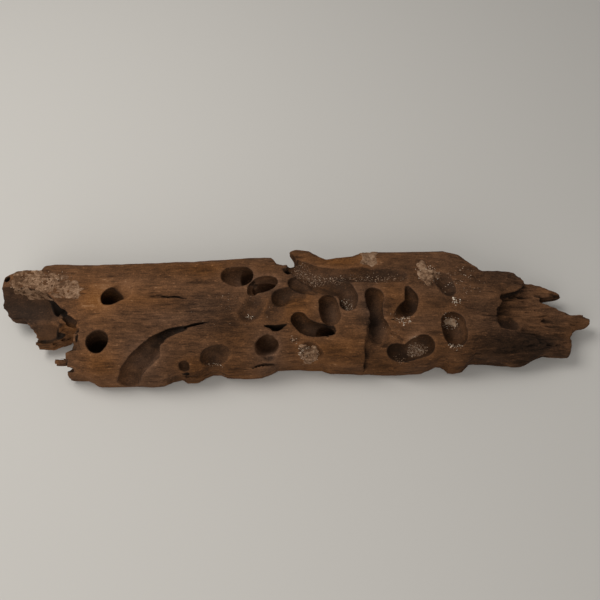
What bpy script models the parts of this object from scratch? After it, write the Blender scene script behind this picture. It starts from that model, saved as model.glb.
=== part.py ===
"""A slab of dragon wood: driftwood that shipworms have tunnelled and water has worn.

It grew as one piece, so it is one solid, lying on its flat, worn underside. +X runs along
the grain to the splintered tip, +Y to the back edge and +Z up. The origin is on the
underside, below the middle of the outline. Every table is in millimetres.
"""

import math

import bmesh
import bpy
from mathutils import Vector

MM = 0.001

WOOD_COLOUR = (0.105, 0.047, 0.021, 1.0)
WOOD_ROUGHNESS = 0.85

# The blank that the tunnels are cut from: its length, and how its edges are rounded.
HALF_LENGTH = 295.0
BLANK_OVERHANG = 9.0
STATION_STEP = 12.0
FRONT_ROUND_DEPTH = 30.0
FOOT_HEIGHT = 5.0
BACK_ROUND = 10.0
FOOT_ROUND_FRONT = 7.0
FOOT_ROUND_BACK = 12.0
MOST_ROUND_SHARE = 1 / 3  # a foot or shoulder takes at most this share of the thickness
ROUND_STEPS = 5
FOOT_STEPS = 3
TOP_STEPS = 7

# Each table gives a value at stations along X, with straight stretches between them.
TOP_HEIGHT = [
    (-296, 34), (-290, 42), (-278, 45), (-256, 46), (-240, 48), (-205, 50.5),
    (-100, 54), (0, 56), (66, 56), (76, 52), (150, 50), (200, 44), (240, 34), (296, 20),
]
FRONT_EDGE = [
    (-296, -20), (-260, -30), (-240, -44), (-226, -57), (-205, -62), (-187, -66),
    (-150, -66), (-124, -64), (-94, -61), (-65, -58), (-40, -58), (-16, -52), (0, -50),
    (35, -52), (98, -53), (123, -52), (155, -51), (212, -46), (228, -44), (264, -38),
    (285, -36), (296, -30),
]
BACK_EDGE = [
    (-296, 40), (-280, 46), (-256, 50), (-100, 51), (-60, 53), (-22, 55), (0, 66),
    (14, 65), (30, 55), (60, 59), (80, 64), (150, 66), (165, 63), (175, 56), (200, 50),
    (222, 50), (232, 44), (260, 36), (296, 18),
]
UNDERSIDE = [
    (-296, 18), (-280, 11), (-255, 5), (-225, 0), (175, 0), (230, 4), (270, 8), (296, 12),
]

# The broken outline seen from above: anticlockwise from the left end's lower corner.
OUTLINE = [
    # the left end's lower edge, its bite and the thin spur beside it
    (-294, 28), (-294, 21), (-290.5, 12.5), (-286, 5.5), (-281, 0), (-269, 0.5), (-266, -3),
    (-261, -9), (-255, -16), (-251, -22), (-251, -25.5), (-238, -24.5), (-226, -22),
    (-214, -23), (-213, -40), (-218, -44), (-222, -44.8), (-230, -45.2), (-229.5, -49.5),
    (-225.5, -50), (-213, -50), (-214, -55), (-217, -57),
    # the front edge, scalloped by old tunnels
    (-215, -58.5), (-201, -59), (-195, -62), (-191, -64.8), (-187, -65.5), (-150, -65.5),
    (-139, -64.5), (-124.5, -63), (-116, -59.5), (-109.5, -58.5), (-104, -60.5),
    (-93.5, -59.5), (-87, -56), (-79.5, -53.5), (-71.5, -54), (-65.5, -56.5), (-44, -56.5),
    (-32, -55), (-22.5, -51.5), (-16, -48), (5, -47.5), (26.5, -48), (32, -50), (35, -51),
    (70, -51.5), (98, -51.5), (111, -51), (123, -50), (133.5, -46), (139, -44), (143, -44.5),
    (146.5, -47), (149.5, -50), (155.5, -50.5), (163.5, -49.5), (169, -46), (173, -41.5),
    (176, -41.5), (181, -43), (192.5, -44), (212, -44.5), (222, -43.5), (228, -38.5),
    (239, -38), (242, -36.5), (265, -36),
    # the splintered right end, with a notch between its two tips
    (267, -33), (270, -27.5), (274, -22), (279.5, -14.5), (283, -10.5), (291, -6.5),
    (294.5, -2.5), (295, 1), (292, 5), (278, 5), (272, 8), (264, 12), (254, 16.5), (252, 20),
    (253, 24), (262, 26), (270, 27), (271, 29), (267, 31), (263, 33), (254, 36), (248, 40),
    (234, 38), (231, 39),
    # the back edge, with the hooked notch
    (229, 43), (223, 47), (213, 49.5), (199, 49), (187, 46.5), (179, 51), (172, 57.5),
    (166, 63), (158, 65.5), (107, 65.5), (78, 64), (68, 59.5), (56, 55), (40, 53.5), (32, 52),
    (25, 55), (19, 60.5), (15, 65.5), (2, 65.5), (-3, 63.5), (-6.5, 60.5), (-6, 58.5),
    (-2.5, 54), (0, 49.5), (0, 44.5), (-1.5, 42), (-6, 41), (-12.5, 42.6), (-17.5, 45),
    (-21.5, 51.5), (-22.5, 54.5), (-45, 53.5), (-76, 52.5), (-116, 50.5), (-156, 50),
    (-196, 50), (-247, 50.5),
    # the rounded knob at the left end
    (-251, 49.5), (-254.5, 46), (-256, 43), (-284, 42.8), (-290, 41), (-293.5, 38), (-295, 34),
]

# Where wood has split away: the corners of each piece that is gone, seen from above, and its
# floor as a plane (height at the origin, rise along X and Y). The ceiling is level.
BROKEN_STEPS = {
    "left_step": {
        "corners": [
            (-320, -75), (-222, -75), (-207, -50), (-200, -44), (-202.5, -35), (-203, -27),
            (-205.5, -19), (-210.5, -14), (-217, -9), (-221, -3.5), (-226, 1), (-231.5, 5),
            (-238, 8), (-244, 13), (-320, 14),
        ],
        "floor": (74.0, 0.14, 0.0),
        "ceiling": 90.0,
    },
    "under_spur": {
        "corners": [(-240, -53), (-214.5, -53), (-214.5, -41.5), (-240, -41.5)],
        "floor": (-20.0, 0.0, 0.0),
        "ceiling": 20.0,
    },
    "over_spur": {
        "corners": [(-240, -53), (-214.5, -53), (-214.5, -41.5), (-240, -41.5)],
        "floor": (54.0, 0.12, 0.0),
        "ceiling": 90.0,
    },
    "right_step": {
        "corners": [
            (262, -75), (330, -75), (330, 75), (236, 75), (231, 40), (229.5, 30), (223, 24),
            (212, 19.5), (203, 16), (200, 11), (203, 8.5), (199, 3), (195.5, -5), (194.5, -14),
            (196.5, -19.5), (203, -21.5), (215, -23), (231, -25), (240, -38),
        ],
        "floor": (64.0, -0.155, -0.05),
        "ceiling": 90.0,
    },
    "split_beside_trench": {
        "corners": [
            (66.5, 14), (66.5, -5), (71, -15), (71, -18), (68.5, -27), (67, -34), (65, -41),
            (66, -48), (68, -75), (128, -75), (132, -40), (110, -14), (94, 2), (80, 17),
        ],
        "floor": (52.0, 0.0, 0.06),
        "ceiling": 90.0,
    },
}

# Shipworm tunnels, as points on the centre line and the radius there: (x, y, z, radius).
TUNNELS_SEEN_FROM_ABOVE = {
    "round_bore": [(-184, -38, 57, 10), (-184, -36, 43, 10), (-180, -34, 31, 9.5), (-163, -32, 22, 9)],
    "slant_bore": [(-170, 16, 56, 9), (-176, 9, 47, 11), (-184, 3, 37, 11.5), (-193, -4, 25, 10)],
    "scoop": [
        (-159, -66, 16, 11.5), (-151, -60, 31, 11.5), (-140, -51, 41, 10.5), (-127, -41, 48, 7.5),
        (-115, -33, 50, 4.5), (-102, -25, 52, 2.2),
    ],
    "dimple_small": [(-103, -58, 32, 5)],
    "dimple_wide": [(-78, -53, 42, 13), (-74, -53, 42, 12)],
    "hole_a": [(-61, 33, 54, 9.5), (-53, 32, 51, 11), (-42, 32, 48, 10.5), (-32, 33, 37, 9)],
    "hole_b": [(-42, 11, 54, 4), (-37, 17, 50, 8.5), (-28, 21, 48, 10.5), (-19, 22, 47, 10)],
    "hole_b_below": [(-34, 20, 42, 9), (-22, 23, 34, 9.5), (-14, 22, 31, 8)],
    "pale_hollow": [(-45, -11, 65, 14), (-39, 1, 65, 14)],
    "hollow_c": [(-13, 5, 56, 8.5), (-6, 6, 59, 8), (4, 8, 62, 8)],
    "notch_bore": [(-6, 37, 56, 4.5), (-5, 35, 46, 6), (3, 28, 36, 6)],
    "arch": [
        (1, 40, 56, 8.5), (9, 35, 58, 10.5), (20, 29, 59, 11.5), (31, 24, 59, 10.5),
        (42, 19, 58, 9.5), (49, 12, 56, 9.5), (53, 4, 54, 9.5), (51, -4, 53, 8.5),
    ],
    "long_groove": [(23, 38, 59, 6.5), (49, 33, 60, 7.5), (76, 33, 56, 7.5), (105, 33, 57, 7)],
    "oval_h": [(-3, 22, 56, 6.5), (7, 18, 56, 7.5), (18, 14, 56, 7), (30, 11, 56, 6.5)],
    "recess_left": [(31, -2, 57, 9), (31, -16, 56, 9.5)],
    "recess_right": [(43, -2, 57, 10.5), (44, -16, 57, 10.5)],
    "kidney_e": [
        (4, -18, 53, 7.5), (9, -23, 50, 8.5), (18, -26, 50, 7.5), (27, -27, 50.5, 6.5),
        (34, -27, 50, 6.5),
    ],
    "kidney_e_below": [(26, -28, 45, 6), (35, -29, 37, 6.5), (38, -31, 28, 6)],
    "hole_d": [(-25, -41, 47, 12), (-26, -42, 36, 12), (-20, -40, 26, 10)],
    "slit_d": [(-26, -27, 56, 2), (-18, -29, 53, 4), (-9, -27, 55, 3)],
    "deposit_i": [(14, -46, 37, 11.5), (18, -48, 32, 11)],
    "trench_k": [
        (77, 9, 50, 10), (75, -2, 48, 9), (77, -15, 48, 6.5), (77, -25, 48, 6.5),
        (76, -37, 44, 8), (79, -46, 34, 12), (85, -55, 22, 13),
    ],
    "hole_l": [(111, 17, 51, 3.5), (112, 8, 48, 7.5), (112, 1, 47, 8), (104, -8, 52, 7), (99, -13, 54, 5.5)],
    "kidney_m": [(96, -43, 37, 9.5), (104, -42, 34, 10), (112, -40, 38, 10.5), (122, -38, 40, 11)],
    "oval_n": [(150, -19, 48, 11.5), (150, -27, 45, 12.5), (153, -34, 44, 11)],
    "hollow_p": [(146, 30, 56, 10), (149, 19, 56, 10)],
    "hollow_r": [(204, -6, 38, 10), (216, -10, 37, 10)],
    "crevice": [(201, 4, 38, 4), (206, 14, 38, 4), (216, 20, 36, 4), (228, 26, 33, 3.5)],
}

TUNNELS_AT_THE_ENDS = {
    "left_trough": [(-318, 7, 41, 18), (-262, 6, 41, 18), (-240, 0, 40, 16), (-226, -7, 38, 11)],
    "left_shelf": [(-285, -16, 33, 12), (-252, -17, 32, 12), (-241, -19, 30, 10)],
    "left_crevice": [(-244, 13, 32, 5), (-234, 6, 30, 6), (-225, -1, 29, 6)],
    "left_pocket": [(-227, -7, 34, 7), (-217, -12, 31, 7.5), (-208, -17, 28, 6)],
    "shelf_hole": [(-246, -27, 24, 6), (-236, -24, 22, 6.5), (-222, -22, 21, 5)],
    "spur_hole": [(-228, -53, 13, 6), (-214, -52, 15, 6.5), (-207, -50, 16, 5.5)],
    "knob_hole": [(-300, 41, 34, 3.5), (-287, 36, 29, 3.5), (-276, 31, 24, 3.5)],
}

TUNNELS_BEHIND = {
    "back_bore": [(-236, 60, 24, 9), (-222, 44, 21, 9), (-196, 34, 20, 8)],
    "back_loop": [
        (-152, 60, 27, 8), (-140, 46, 25, 8.5), (-118, 40, 23, 8.5), (-98, 47, 25, 8.5), (-86, 62, 27, 8),
    ],
    "back_groove": [(-66, 57, 17, 7), (-36, 58, 16, 9), (-10, 58, 15, 9), (26, 62, 15, 8)],
    "back_well": [(68, 72, 31, 9), (72, 54, 27, 9), (86, 43, 22, 8)],
    "back_scallop": [(122, 72, 15, 9), (136, 57, 20, 10), (152, 55, 27, 10), (168, 68, 33, 9)],
    "back_slot": [(196, 54, 17, 6.5), (206, 41, 17, 6.5), (228, 31, 15, 5.5)],
}

TUNNELS_BELOW = {
    "belly_left": [(-196, -24, -2, 7), (-168, -12, 1, 8.5), (-132, -16, 2, 8), (-108, -4, -3, 7)],
    "belly_middle": [(-74, 14, -3, 7), (-48, 26, 1, 9), (-16, 22, 1, 9), (12, 32, -3, 7)],
    "belly_right": [(40, -36, -3, 8), (62, -26, 1, 9), (92, -30, 2, 8), (112, -22, -4, 7)],
    "belly_cross": [(132, -4, -3, 7), (142, 14, 2, 9), (158, 30, 2, 8), (162, 44, -3, 8)],
    "belly_well": [(-30, -28, -6, 8), (-30, -27, 10, 8), (-24, -24, 16, 7)],
}

# The cutters: clear of the slab above and below, and round enough for their size.
CUTTER_TOP = 90.0
CUTTER_BOTTOM = -20.0
TUNNEL_SIDES = 12
SMALL_TUNNEL_SIDES = 9
SMALL_TUNNEL_RADIUS = 7.0
CAP_ANGLES = (30.0, 62.0)
BALL_HALF_LENGTH = 0.5


def along(x, table):
    """The table's value at station x, on the straight line between its neighbours."""
    if x <= table[0][0]:
        return table[0][1]
    for (x0, v0), (x1, v1) in zip(table, table[1:]):
        if x <= x1:
            return v0 + (v1 - v0) * (x - x0) / (x1 - x0)
    return table[-1][1]


def swell(x, y):
    """The slow rise and fall of the worn top, a sum of long crossing waves."""
    return (
        1.3 * math.sin(x / 31.0 + 0.6) * math.cos(y / 23.0 + 0.4)
        + 0.8 * math.sin(x / 17.0 + y / 14.0)
    )


def arc(start, end, centre_side, steps):
    """Points of a quarter ellipse from start to end, leaving start along the side it is tangent to."""
    (y0, z0), (y1, z1) = start, end
    points = []
    for i in range(1, steps):
        turn = math.pi / 2 * i / steps
        rise, run = math.sin(turn), 1 - math.cos(turn)
        if centre_side == "upright":
            points.append((y0 + (y1 - y0) * run, z0 + (z1 - z0) * rise))
        else:
            points.append((y0 + (y1 - y0) * rise, z0 + (z1 - z0) * run))
    return points


def section(x):
    """The slab's outline across the grain at station x: (y, z) points from the front foot over the top."""
    front, back = along(x, FRONT_EDGE), along(x, BACK_EDGE)
    top, low = along(x, TOP_HEIGHT), along(x, UNDERSIDE)
    shoulder = front + min(FRONT_ROUND_DEPTH, (back - front) / 2)
    foot_height = min(FOOT_HEIGHT, (top - low) * MOST_ROUND_SHARE)
    foot = (front + FOOT_ROUND_FRONT, low)
    front_side = (front, low + foot_height)
    front_top = (shoulder, top + swell(x, shoulder))
    back_top = (back - BACK_ROUND, top + swell(x, back - BACK_ROUND))
    back_side = (back, back_top[1] - min(BACK_ROUND, (top - low) * MOST_ROUND_SHARE))
    back_low = (back, low + foot_height)
    back_foot = (back - FOOT_ROUND_BACK, low)

    points = [foot, *arc(foot, front_side, "level", FOOT_STEPS), front_side]
    points += [*arc(front_side, front_top, "upright", ROUND_STEPS), front_top]
    for i in range(1, TOP_STEPS):
        y = front_top[0] + (back_top[0] - front_top[0]) * i / TOP_STEPS
        points.append((y, top + swell(x, y)))
    points += [back_top, *arc(back_top, back_side, "level", FOOT_STEPS), back_side, back_low]
    points += [*arc(back_low, back_foot, "upright", FOOT_STEPS), back_foot]
    return points


def add_mesh(name, fill):
    """A new object whose mesh fill(bm) has built, with its faces turned outwards."""
    bm = bmesh.new()
    fill(bm)
    bmesh.ops.recalc_face_normals(bm, faces=bm.faces)
    mesh = bpy.data.meshes.new(name)
    bm.to_mesh(mesh)
    bm.free()
    made = bpy.data.objects.new(name, mesh)
    bpy.context.scene.collection.objects.link(made)
    return made


def loft(bm, rings):
    """Joins rings of equally many points with quads, and closes both ends."""
    rows = [[bm.verts.new(Vector(p) * MM) for p in ring] for ring in rings]
    count = len(rows[0])
    for near, far in zip(rows, rows[1:]):
        for i in range(count):
            j = (i + 1) % count
            bm.faces.new((near[i], near[j], far[j], far[i]))
    bm.faces.new(rows[0])
    bm.faces.new(rows[-1])


def make_blank():
    """The slab before it was broken and bored: sections lofted along the grain."""
    reach = HALF_LENGTH + BLANK_OVERHANG
    count = round(2 * reach / STATION_STEP)
    stations = [-reach + 2 * reach * i / count for i in range(count + 1)]
    return add_mesh(
        "dragon_wood",
        lambda bm: loft(bm, [[(x, y, z) for y, z in section(x)] for x in stations]),
    )


def make_prism(name, corners, floor, ceiling):
    """A block over the corners, from a floor (height, rise along X, rise along Y) to a level ceiling."""
    height, rise_x, rise_y = floor
    lower = [(x, y, height + rise_x * x + rise_y * y) for x, y in corners]
    upper = [(x, y, ceiling) for x, y in corners]
    return add_mesh(name, lambda bm: loft(bm, [lower, upper]))


def tunnel_rings(path):
    """Rings round a tunnel's path, with a rounded cap beyond each end. A lone point makes a ball."""
    points = [Vector(p[:3]) for p in path]
    radii = [p[3] for p in path]
    if len(points) == 1:
        half = Vector((BALL_HALF_LENGTH, 0, 0))
        points = [points[0] - half, points[0] + half]
        radii = radii * 2
    small = max(radii) < SMALL_TUNNEL_RADIUS
    sides = SMALL_TUNNEL_SIDES if small else TUNNEL_SIDES
    last = len(points) - 1
    ways = [
        (points[min(i + 1, last)] - points[max(i - 1, 0)]).normalized() for i in range(last + 1)
    ]
    circles = list(zip(points, ways, radii))
    caps = [(math.sin(math.radians(a)), math.cos(math.radians(a))) for a in CAP_ANGLES]
    near = [(points[0] - ways[0] * radii[0] * s, ways[0], radii[0] * c) for s, c in reversed(caps)]
    far = [(points[-1] + ways[-1] * radii[-1] * s, ways[-1], radii[-1] * c) for s, c in caps]

    side = ways[0].orthogonal().normalized()
    rings = []
    for centre, way, radius in near + circles + far:
        side = (side - way * side.dot(way)).normalized()
        other = way.cross(side)
        turns = [2 * math.pi * i / sides for i in range(sides)]
        rings.append([centre + (side * math.cos(t) + other * math.sin(t)) * radius for t in turns])
    return rings


def make_tunnel(name, path):
    """A cutter in the shape of one tunnel."""
    return add_mesh(name, lambda bm: loft(bm, tunnel_rings(path)))


def cut(wood, cutter, operation="DIFFERENCE"):
    """Cuts the wood with a helper object, which isn't part of the slab."""
    cutter.hide_render = True
    cutter.display_type = "WIRE"
    modifier = wood.modifiers.new(cutter.name, "BOOLEAN")
    modifier.operation = operation
    modifier.solver = "EXACT"
    modifier.object = cutter


def wood_material():
    """Dark, dry, weathered wood."""
    material = bpy.data.materials.new("weathered_wood")
    material.use_nodes = True
    shader = material.node_tree.nodes["Principled BSDF"]
    shader.inputs["Base Color"].default_value = WOOD_COLOUR
    shader.inputs["Roughness"].default_value = WOOD_ROUGHNESS
    shader.inputs["Metallic"].default_value = 0.0
    return material


def clear_scene():
    for old in list(bpy.data.objects):
        bpy.data.objects.remove(old, do_unlink=True)


def main():
    clear_scene()
    wood = make_blank()
    wood.data.materials.append(wood_material())
    cut(wood, make_prism("outline", OUTLINE, (CUTTER_BOTTOM, 0.0, 0.0), CUTTER_TOP), "INTERSECT")
    for name, step in BROKEN_STEPS.items():
        cut(wood, make_prism(name, step["corners"], step["floor"], step["ceiling"]))
    for group in (TUNNELS_SEEN_FROM_ABOVE, TUNNELS_AT_THE_ENDS, TUNNELS_BEHIND, TUNNELS_BELOW):
        for name, path in group.items():
            cut(wood, make_tunnel(name, path))


main()
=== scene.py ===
"""How a slab of dragon wood looks: driftwood that shipworms have riddled, on a plain pale floor.

The wood isn't a grid of two parameters, because its tunnels meet, branch and break through each
other. Its surface is where one function of place is zero: the slab's distance function, less
that of every tunnel. The function is worked out as whole arrays on a block of points, a net of
quads is laid through its zero surface, and the net is thinned where it is flat. The pale crust
is a second such surface, a thin skin on the first, and the grains are small stones set into it.

Every table but the stage's is in millimetres, in the CAD's own frame: +X along the grain to the
splintered tip, +Y to the back, +Z up, the origin on the underside below the middle of the outline.
"""

from math import radians, tan

import bpy
import numpy as np
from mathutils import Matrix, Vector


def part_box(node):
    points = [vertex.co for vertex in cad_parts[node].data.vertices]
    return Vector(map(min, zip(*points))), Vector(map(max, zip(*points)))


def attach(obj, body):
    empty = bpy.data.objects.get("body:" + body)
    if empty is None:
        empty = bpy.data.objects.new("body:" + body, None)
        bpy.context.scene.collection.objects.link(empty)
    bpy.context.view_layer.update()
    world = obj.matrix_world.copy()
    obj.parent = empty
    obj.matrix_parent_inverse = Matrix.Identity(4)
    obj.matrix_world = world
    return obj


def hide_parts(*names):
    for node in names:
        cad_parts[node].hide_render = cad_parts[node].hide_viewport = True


bl_info = {
    "name": "Dragon wood",
    "version": (1, 0, 0),
    "blender": (4, 5, 0),
    "location": "View3D > Sidebar > Dragon wood",
    "description": "Dresses a slab of shipworm-bored driftwood in grain, crust and mineral grains",
    "category": "Object",
}

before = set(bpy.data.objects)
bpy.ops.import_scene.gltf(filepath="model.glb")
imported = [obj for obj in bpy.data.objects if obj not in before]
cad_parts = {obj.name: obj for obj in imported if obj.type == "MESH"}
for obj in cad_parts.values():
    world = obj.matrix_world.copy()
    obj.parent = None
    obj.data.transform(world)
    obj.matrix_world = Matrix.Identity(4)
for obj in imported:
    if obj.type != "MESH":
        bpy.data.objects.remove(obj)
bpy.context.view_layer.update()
MM = 0.001

# The blank: what its edges and faces are at stations along X. Its top and underside are the
# solid's, and its front and back edges lie up to 1.6 mm further out.
TOP_HEIGHT = [
    (-296, 34), (-290, 42), (-278, 45), (-256, 46), (-240, 48), (-205, 50.5),
    (-100, 54), (0, 56), (66, 56), (76, 52), (150, 50), (200, 44), (240, 34), (296, 20),
]
FRONT_EDGE = [
    (-296, -20), (-260, -30), (-240, -44), (-226, -57), (-205, -62), (-187, -66.4),
    (-150, -66.4), (-124, -65.6), (-94, -62), (-65, -58.6), (-40, -58.4), (-16, -52.6), (0, -50.6),
    (35, -52.8), (98, -54.4), (123, -53), (155, -52), (212, -47), (228, -45), (264, -39.5),
    (285, -37), (296, -30),
]
BACK_EDGE = [
    (-296, 40), (-280, 46), (-256, 51), (-100, 52), (-60, 54), (-22, 55.6), (0, 66),
    (14, 65), (30, 55), (60, 59), (80, 65), (150, 67), (165, 63.4), (175, 56), (200, 50),
    (222, 50), (232, 44), (260, 36), (296, 18),
]
UNDERSIDE = [
    (-296, 18), (-280, 11), (-255, 5), (-225, 0), (175, 0), (230, 4), (270, 8), (296, 12),
]
FRONT_ROUND_DEPTH = 30.0
FOOT_HEIGHT = 5.0
BACK_ROUND = 10.0
FOOT_ROUND = 6.0

# The broken outline seen from above: anticlockwise from the left end's lower corner.
OUTLINE = [
    # the left end's lower edge, its bite and the thin spur beside it
    (-290.8, 28), (-292.5, 22), (-294, 13.5), (-287, 5.2), (-281, -1), (-269, -0.5), (-266, -4),
    (-261, -9), (-256, -16), (-253.8, -22), (-254, -27.3), (-240, -26.2), (-229, -21.5),
    (-222, -17), (-208, -16), (-206.5, -36), (-208, -42), (-213, -46), (-229.5, -46), (-228.5, -50),
    (-225.5, -50.5), (-213, -50.5), (-215.5, -54), (-219, -58),
    # the front edge, scalloped by old tunnels
    (-216.5, -59.5), (-201, -59.6), (-195, -62), (-191, -64.8), (-187, -65.8), (-150, -65.5),
    (-137, -65.8), (-126, -65), (-118, -60.6), (-109.5, -58.5), (-104, -61.5),
    (-93.5, -61), (-87, -57), (-79.5, -53.4), (-71.5, -53.5), (-65.5, -56.5), (-44, -57),
    (-32, -56.2), (-22.5, -52.2), (-16, -48.6), (5, -48), (26.5, -49), (32, -51), (35, -52),
    (70, -52.8), (98, -53.6), (111, -52.5), (124, -51.7), (133, -47.5), (138.5, -45.2), (143, -45.5),
    (146.5, -47), (149.5, -51), (155.5, -51.5), (164, -49.8), (168.5, -45), (172, -41.8),
    (176, -41.6), (181, -42.4), (192.5, -43.4), (212, -45.8), (222, -46.4), (229, -42.4),
    (239, -37), (244, -36), (262, -38), (268, -37.8),
    # the splintered right end, with a notch between its two tips
    (268.8, -32), (270, -27), (271, -20.5), (274, -13.5), (280, -9.8), (291, -6.5),
    (295.4, -3), (296, 2), (292, 5.5), (278, 6), (272, 8.5), (264, 11.5), (254, 14.5), (246.5, 18.5),
    (248, 24.2), (262, 26.2), (270.5, 27.2), (274.8, 29.7), (269, 31.6), (261, 33.5), (253, 36),
    (249, 41), (234, 39.5), (231, 40),
    # the back edge, with the hooked notch
    (230, 44.5), (224, 48.8), (214, 47.2), (199, 44), (187, 42.6), (178, 49), (172, 56),
    (166, 63), (158, 66.3), (107, 67), (78, 65.8), (68, 60), (56, 55), (40, 53.5), (32, 52),
    (25, 55), (19, 60.5), (15, 65.5), (2, 65.5), (-3, 63.8), (-5.6, 60.8), (-5, 58.5),
    (-0.4, 54), (2.2, 49.5), (2.4, 47.2), (-0.5, 45.4), (-6, 43), (-12.5, 42.6), (-18, 44.4),
    (-22.3, 51.5), (-23, 55), (-45, 54.2), (-76, 53.6), (-116, 52), (-156, 51.6),
    (-196, 52), (-247, 52.2),
    # the rounded knob at the left end
    (-249.8, 51.3), (-251, 47), (-252.5, 41.8), (-285, 44.2), (-290, 42.6), (-292.3, 38), (-291, 34),
]

# Where wood has split away: the corners of what is gone, and the floor that it left as a plane
# (height at the origin, rise along X and Y). Only the wood under the spur went from below.
BROKEN_STEPS = {
    "left_step": {
        "corners": [
            (-320, -75), (-222, -75), (-207, -50), (-200, -44), (-202.5, -35), (-203, -27),
            (-205.5, -19), (-210.5, -14), (-217, -9), (-221, -3.5), (-226, 1), (-231.5, 5),
            (-238, 8), (-244, 13), (-320, 14),
        ],
        "floor": (74.0, 0.14, 0.0),
    },
    "over_spur": {
        "corners": [(-240, -53), (-214.5, -53), (-214.5, -41.5), (-240, -41.5)],
        "floor": (54.0, 0.12, 0.0),
    },
    "right_step": {
        "corners": [
            (262, -75), (330, -75), (330, 75), (236, 75), (231, 40), (229.5, 30), (223, 24),
            (212, 19.5), (203, 16), (200, 11), (203, 8.5), (199, 3), (195.5, -5), (194.5, -14),
            (196.5, -19.5), (203, -21.5), (215, -23), (231, -25), (240, -38),
        ],
        "floor": (64.0, -0.155, -0.05),
    },
}

# Where a sheet of wood has shed along the surface, beside the trench: the corners of its edge, how
# deep it went there, the two stations between which that fades to nothing, the two heights between
# which it starts, and the corners of the box that all of it lies in.
SHED_CORNERS = [
    (74, -10), (71, -16), (70.5, -19), (69.5, -24), (67.5, -34), (65, -41), (66, -48),
    (68, -75), (120, -75), (114, -50), (98, -34), (84, -22),
]
SHED_DEPTH = 7.5
SHED_FADE = (78.0, 112.0)
SHED_FOOT = (6, 22.0)
SHED_BOX = ((60, -80, 0), (125, 20, 80))

# Knobs that stand out of the broken left end, as points on a centre line with radii.
KNOBS = {
    "left_lump": [(-219, -30, 38, 5.5), (-207, -31, 42, 7)],
    "shelf_lump": [(-244, -24, 31, 5.5), (-234, -25, 35, 5.5)],
}

# The thin spur: its least and most X, its least and most Y, and the height it is open below.
SPUR_BOX = (-240.0, -214.5, -53.0, -41.5)
SPUR_UNDERSIDE = 20.0

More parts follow.
